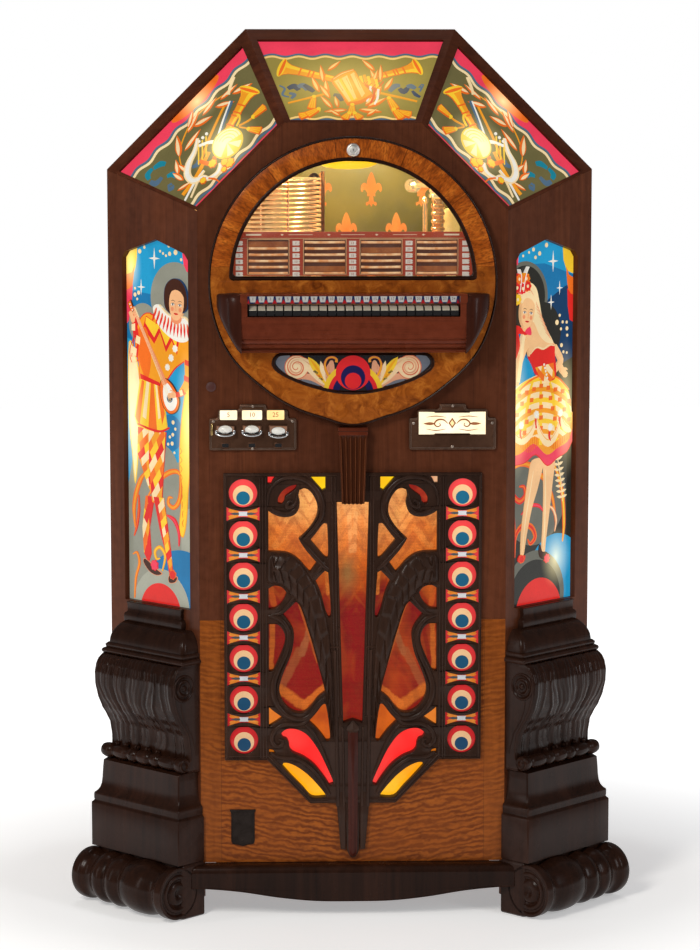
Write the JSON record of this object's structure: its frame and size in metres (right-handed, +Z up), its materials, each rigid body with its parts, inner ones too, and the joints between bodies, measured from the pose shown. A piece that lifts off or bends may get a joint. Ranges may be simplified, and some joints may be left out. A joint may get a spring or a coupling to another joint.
{
  "type": "jukebox",
  "caption": "Coin-operated floor jukebox: octagonal wooden cabinet with lit art glass, round selector door with push-in keys, carved grille and corner consoles.",
  "frame": {"origin": "on the floor under the middle of the bounding box", "axes": "+Z up, the front with the round selector door faces -Y, +X is to the right of someone facing the front"},
  "size_m": [1.0754, 0.7, 1.658],
  "materials": {
    "walnut": "dark reddish walnut, satin lacquer",
    "ebonised": "near-black turned and carved wood, gloss lacquer",
    "burl": "orange-brown burl veneer, gloss lacquer",
    "ripple_veneer": "orange-brown rippled veneer, lacquered",
    "back_ply": "stained plywood",
    "side_art_glass": "painted blue art glass, lit from behind",
    "top_art_glass": "painted olive art glass, lit from behind",
    "red_art_glass": "painted red and cream art glass",
    "grille_glass": "mottled amber to red glass, lit from behind",
    "clear_glass": "clear",
    "plate_metal": "dark bronze",
    "chrome": "polished",
    "title_metal": "maroon enamel",
    "key_plastic": "ivory",
    "deck_metal": "olive-gold paint",
    "stack_copper": "copper-coloured",
    "tray_brass": "polished",
    "shaft_steel": "ground",
    "platter_flock": "maroon flock on metal",
    "speaker_black": "black cone and basket",
    "chassis_grey": "grey painted chassis"
  },
  "bodies": {
    "root": {"cabinet_shell": "walnut", "front_board": "walnut", "lower_panel": "ripple_veneer", "canted_board_left": "walnut", "canted_board_right": "walnut", "top_frame": "walnut", "side_glass_left": "side_art_glass", "side_glass_right": "side_art_glass", "top_glass_left": "top_art_glass", "top_glass_centre": "top_art_glass", "top_glass_right": "top_art_glass", "apron": "ebonised", "console_left": "ebonised", "console_right": "ebonised", "foot_left": "ebonised", "foot_right": "ebonised", "carved_grille": "ebonised", "grille_glass": "grille_glass", "fluted_pilaster": "walnut", "speaker": "speaker_black", "coin_plate": "plate_metal", "name_plate": "plate_metal", "mechanism_deck": "deck_metal", "record_stack": "stack_copper", "amplifier": "chassis_grey"},
    "door": {"door_ring": "burl", "door_glass": "clear_glass", "door_art_glass": "red_art_glass", "title_board": "title_metal", "key_housing": "walnut"},
    "door_lock": {"door_lock": "chrome"},
    "selector_key_01": {"selector_key_01": "key_plastic"},
    "selector_key_02": {"selector_key_02": "key_plastic"},
    "selector_key_03": {"selector_key_03": "key_plastic"},
    "selector_key_04": {"selector_key_04": "key_plastic"},
    "selector_key_05": {"selector_key_05": "key_plastic"},
    "selector_key_06": {"selector_key_06": "key_plastic"},
    "selector_key_07": {"selector_key_07": "key_plastic"},
    "selector_key_08": {"selector_key_08": "key_plastic"},
    "selector_key_09": {"selector_key_09": "key_plastic"},
    "selector_key_10": {"selector_key_10": "key_plastic"},
    "selector_key_11": {"selector_key_11": "key_plastic"},
    "selector_key_12": {"selector_key_12": "key_plastic"},
    "selector_key_13": {"selector_key_13": "key_plastic"},
    "selector_key_14": {"selector_key_14": "key_plastic"},
    "selector_key_15": {"selector_key_15": "key_plastic"},
    "selector_key_16": {"selector_key_16": "key_plastic"},
    "selector_key_17": {"selector_key_17": "key_plastic"},
    "selector_key_18": {"selector_key_18": "key_plastic"},
    "selector_key_19": {"selector_key_19": "key_plastic"},
    "selector_key_20": {"selector_key_20": "key_plastic"},
    "selector_key_21": {"selector_key_21": "key_plastic"},
    "selector_key_22": {"selector_key_22": "key_plastic"},
    "selector_key_23": {"selector_key_23": "key_plastic"},
    "selector_key_24": {"selector_key_24": "key_plastic"},
    "back_door": {"back_door": "back_ply"},
    "record_tray": {"record_tray": "tray_brass"},
    "turntable_shaft": {"turntable_shaft": "shaft_steel"},
    "turntable": {"turntable": "platter_flock"},
    "tonearm": {"tonearm": "tray_brass"}
  },
  "joints": [
    {"name": "door_hinge", "type": "hinge", "parent": "root", "child": "door", "pos_m": [0, -0.28585, 0.927], "axis": [1, 0, 0], "range_deg": [0, 80]},
    {"name": "lock_turn", "type": "hinge", "parent": "door", "child": "door_lock", "pos_m": [0, -0.28615, 1.435], "axis": [0, 1, 0], "range_deg": [0, 90]},
    {"name": "selector_key_01_press", "type": "slide", "parent": "door", "child": "selector_key_01", "axis": [0, 1, 0], "range_m": [0, 0.006], "stiffness_N_per_m": 300},
    {"name": "selector_key_02_press", "type": "slide", "parent": "door", "child": "selector_key_02", "axis": [0, 1, 0], "range_m": [0, 0.006], "stiffness_N_per_m": 300},
    {"name": "selector_key_03_press", "type": "slide", "parent": "door", "child": "selector_key_03", "axis": [0, 1, 0], "range_m": [0, 0.006], "stiffness_N_per_m": 300},
    {"name": "selector_key_04_press", "type": "slide", "parent": "door", "child": "selector_key_04", "axis": [0, 1, 0], "range_m": [0, 0.006], "stiffness_N_per_m": 300},
    {"name": "selector_key_05_press", "type": "slide", "parent": "door", "child": "selector_key_05", "axis": [0, 1, 0], "range_m": [0, 0.006], "stiffness_N_per_m": 300},
    {"name": "selector_key_06_press", "type": "slide", "parent": "door", "child": "selector_key_06", "axis": [0, 1, 0], "range_m": [0, 0.006], "stiffness_N_per_m": 300},
    {"name": "selector_key_07_press", "type": "slide", "parent": "door", "child": "selector_key_07", "axis": [0, 1, 0], "range_m": [0, 0.006], "stiffness_N_per_m": 300},
    {"name": "selector_key_08_press", "type": "slide", "parent": "door", "child": "selector_key_08", "axis": [0, 1, 0], "range_m": [0, 0.006], "stiffness_N_per_m": 300},
    {"name": "selector_key_09_press", "type": "slide", "parent": "door", "child": "selector_key_09", "axis": [0, 1, 0], "range_m": [0, 0.006], "stiffness_N_per_m": 300},
    {"name": "selector_key_10_press", "type": "slide", "parent": "door", "child": "selector_key_10", "axis": [0, 1, 0], "range_m": [0, 0.006], "stiffness_N_per_m": 300},
    {"name": "selector_key_11_press", "type": "slide", "parent": "door", "child": "selector_key_11", "axis": [0, 1, 0], "range_m": [0, 0.006], "stiffness_N_per_m": 300},
    {"name": "selector_key_12_press", "type": "slide", "parent": "door", "child": "selector_key_12", "axis": [0, 1, 0], "range_m": [0, 0.006], "stiffness_N_per_m": 300},
    {"name": "selector_key_13_press", "type": "slide", "parent": "door", "child": "selector_key_13", "axis": [0, 1, 0], "range_m": [0, 0.006], "stiffness_N_per_m": 300},
    {"name": "selector_key_14_press", "type": "slide", "parent": "door", "child": "selector_key_14", "axis": [0, 1, 0], "range_m": [0, 0.006], "stiffness_N_per_m": 300},
    {"name": "selector_key_15_press", "type": "slide", "parent": "door", "child": "selector_key_15", "axis": [0, 1, 0], "range_m": [0, 0.006], "stiffness_N_per_m": 300},
    {"name": "selector_key_16_press", "type": "slide", "parent": "door", "child": "selector_key_16", "axis": [0, 1, 0], "range_m": [0, 0.006], "stiffness_N_per_m": 300},
    {"name": "selector_key_17_press", "type": "slide", "parent": "door", "child": "selector_key_17", "axis": [0, 1, 0], "range_m": [0, 0.006], "stiffness_N_per_m": 300},
    {"name": "selector_key_18_press", "type": "slide", "parent": "door", "child": "selector_key_18", "axis": [0, 1, 0], "range_m": [0, 0.006], "stiffness_N_per_m": 300},
    {"name": "selector_key_19_press", "type": "slide", "parent": "door", "child": "selector_key_19", "axis": [0, 1, 0], "range_m": [0, 0.006], "stiffness_N_per_m": 300},
    {"name": "selector_key_20_press", "type": "slide", "parent": "door", "child": "selector_key_20", "axis": [0, 1, 0], "range_m": [0, 0.006], "stiffness_N_per_m": 300},
    {"name": "selector_key_21_press", "type": "slide", "parent": "door", "child": "selector_key_21", "axis": [0, 1, 0], "range_m": [0, 0.006], "stiffness_N_per_m": 300},
    {"name": "selector_key_22_press", "type": "slide", "parent": "door", "child": "selector_key_22", "axis": [0, 1, 0], "range_m": [0, 0.006], "stiffness_N_per_m": 300},
    {"name": "selector_key_23_press", "type": "slide", "parent": "door", "child": "selector_key_23", "axis": [0, 1, 0], "range_m": [0, 0.006], "stiffness_N_per_m": 300},
    {"name": "selector_key_24_press", "type": "slide", "parent": "door", "child": "selector_key_24", "axis": [0, 1, 0], "range_m": [0, 0.006], "stiffness_N_per_m": 300},
    {"name": "back_door_hinge", "type": "hinge", "parent": "root", "child": "back_door", "pos_m": [-0.459, 0.35, 0.1], "axis": [0, 0, 1], "range_deg": [0, 100]},
    {"name": "tray_swing", "type": "hinge", "parent": "root", "child": "record_tray", "pos_m": [-0.065, 0.08415, 1.1587], "axis": [0, 0, 1], "range_deg": [0, 72.5]},
    {"name": "turntable_lift", "type": "slide", "parent": "root", "child": "turntable_shaft", "axis": [0, 0, 1], "range_m": [0, 0.2]},
    {"name": "turntable_spin", "type": "hinge", "parent": "turntable_shaft", "child": "turntable", "pos_m": [0.045, -0.06585, 1.148], "axis": [0, 0, 1], "continuous": true},
    {"name": "tonearm_swing", "type": "hinge", "parent": "root", "child": "tonearm", "pos_m": [0.16, -0.20585, 1.3455], "axis": [0, 0, 1], "range_deg": [-15, 8]}
  ]
}
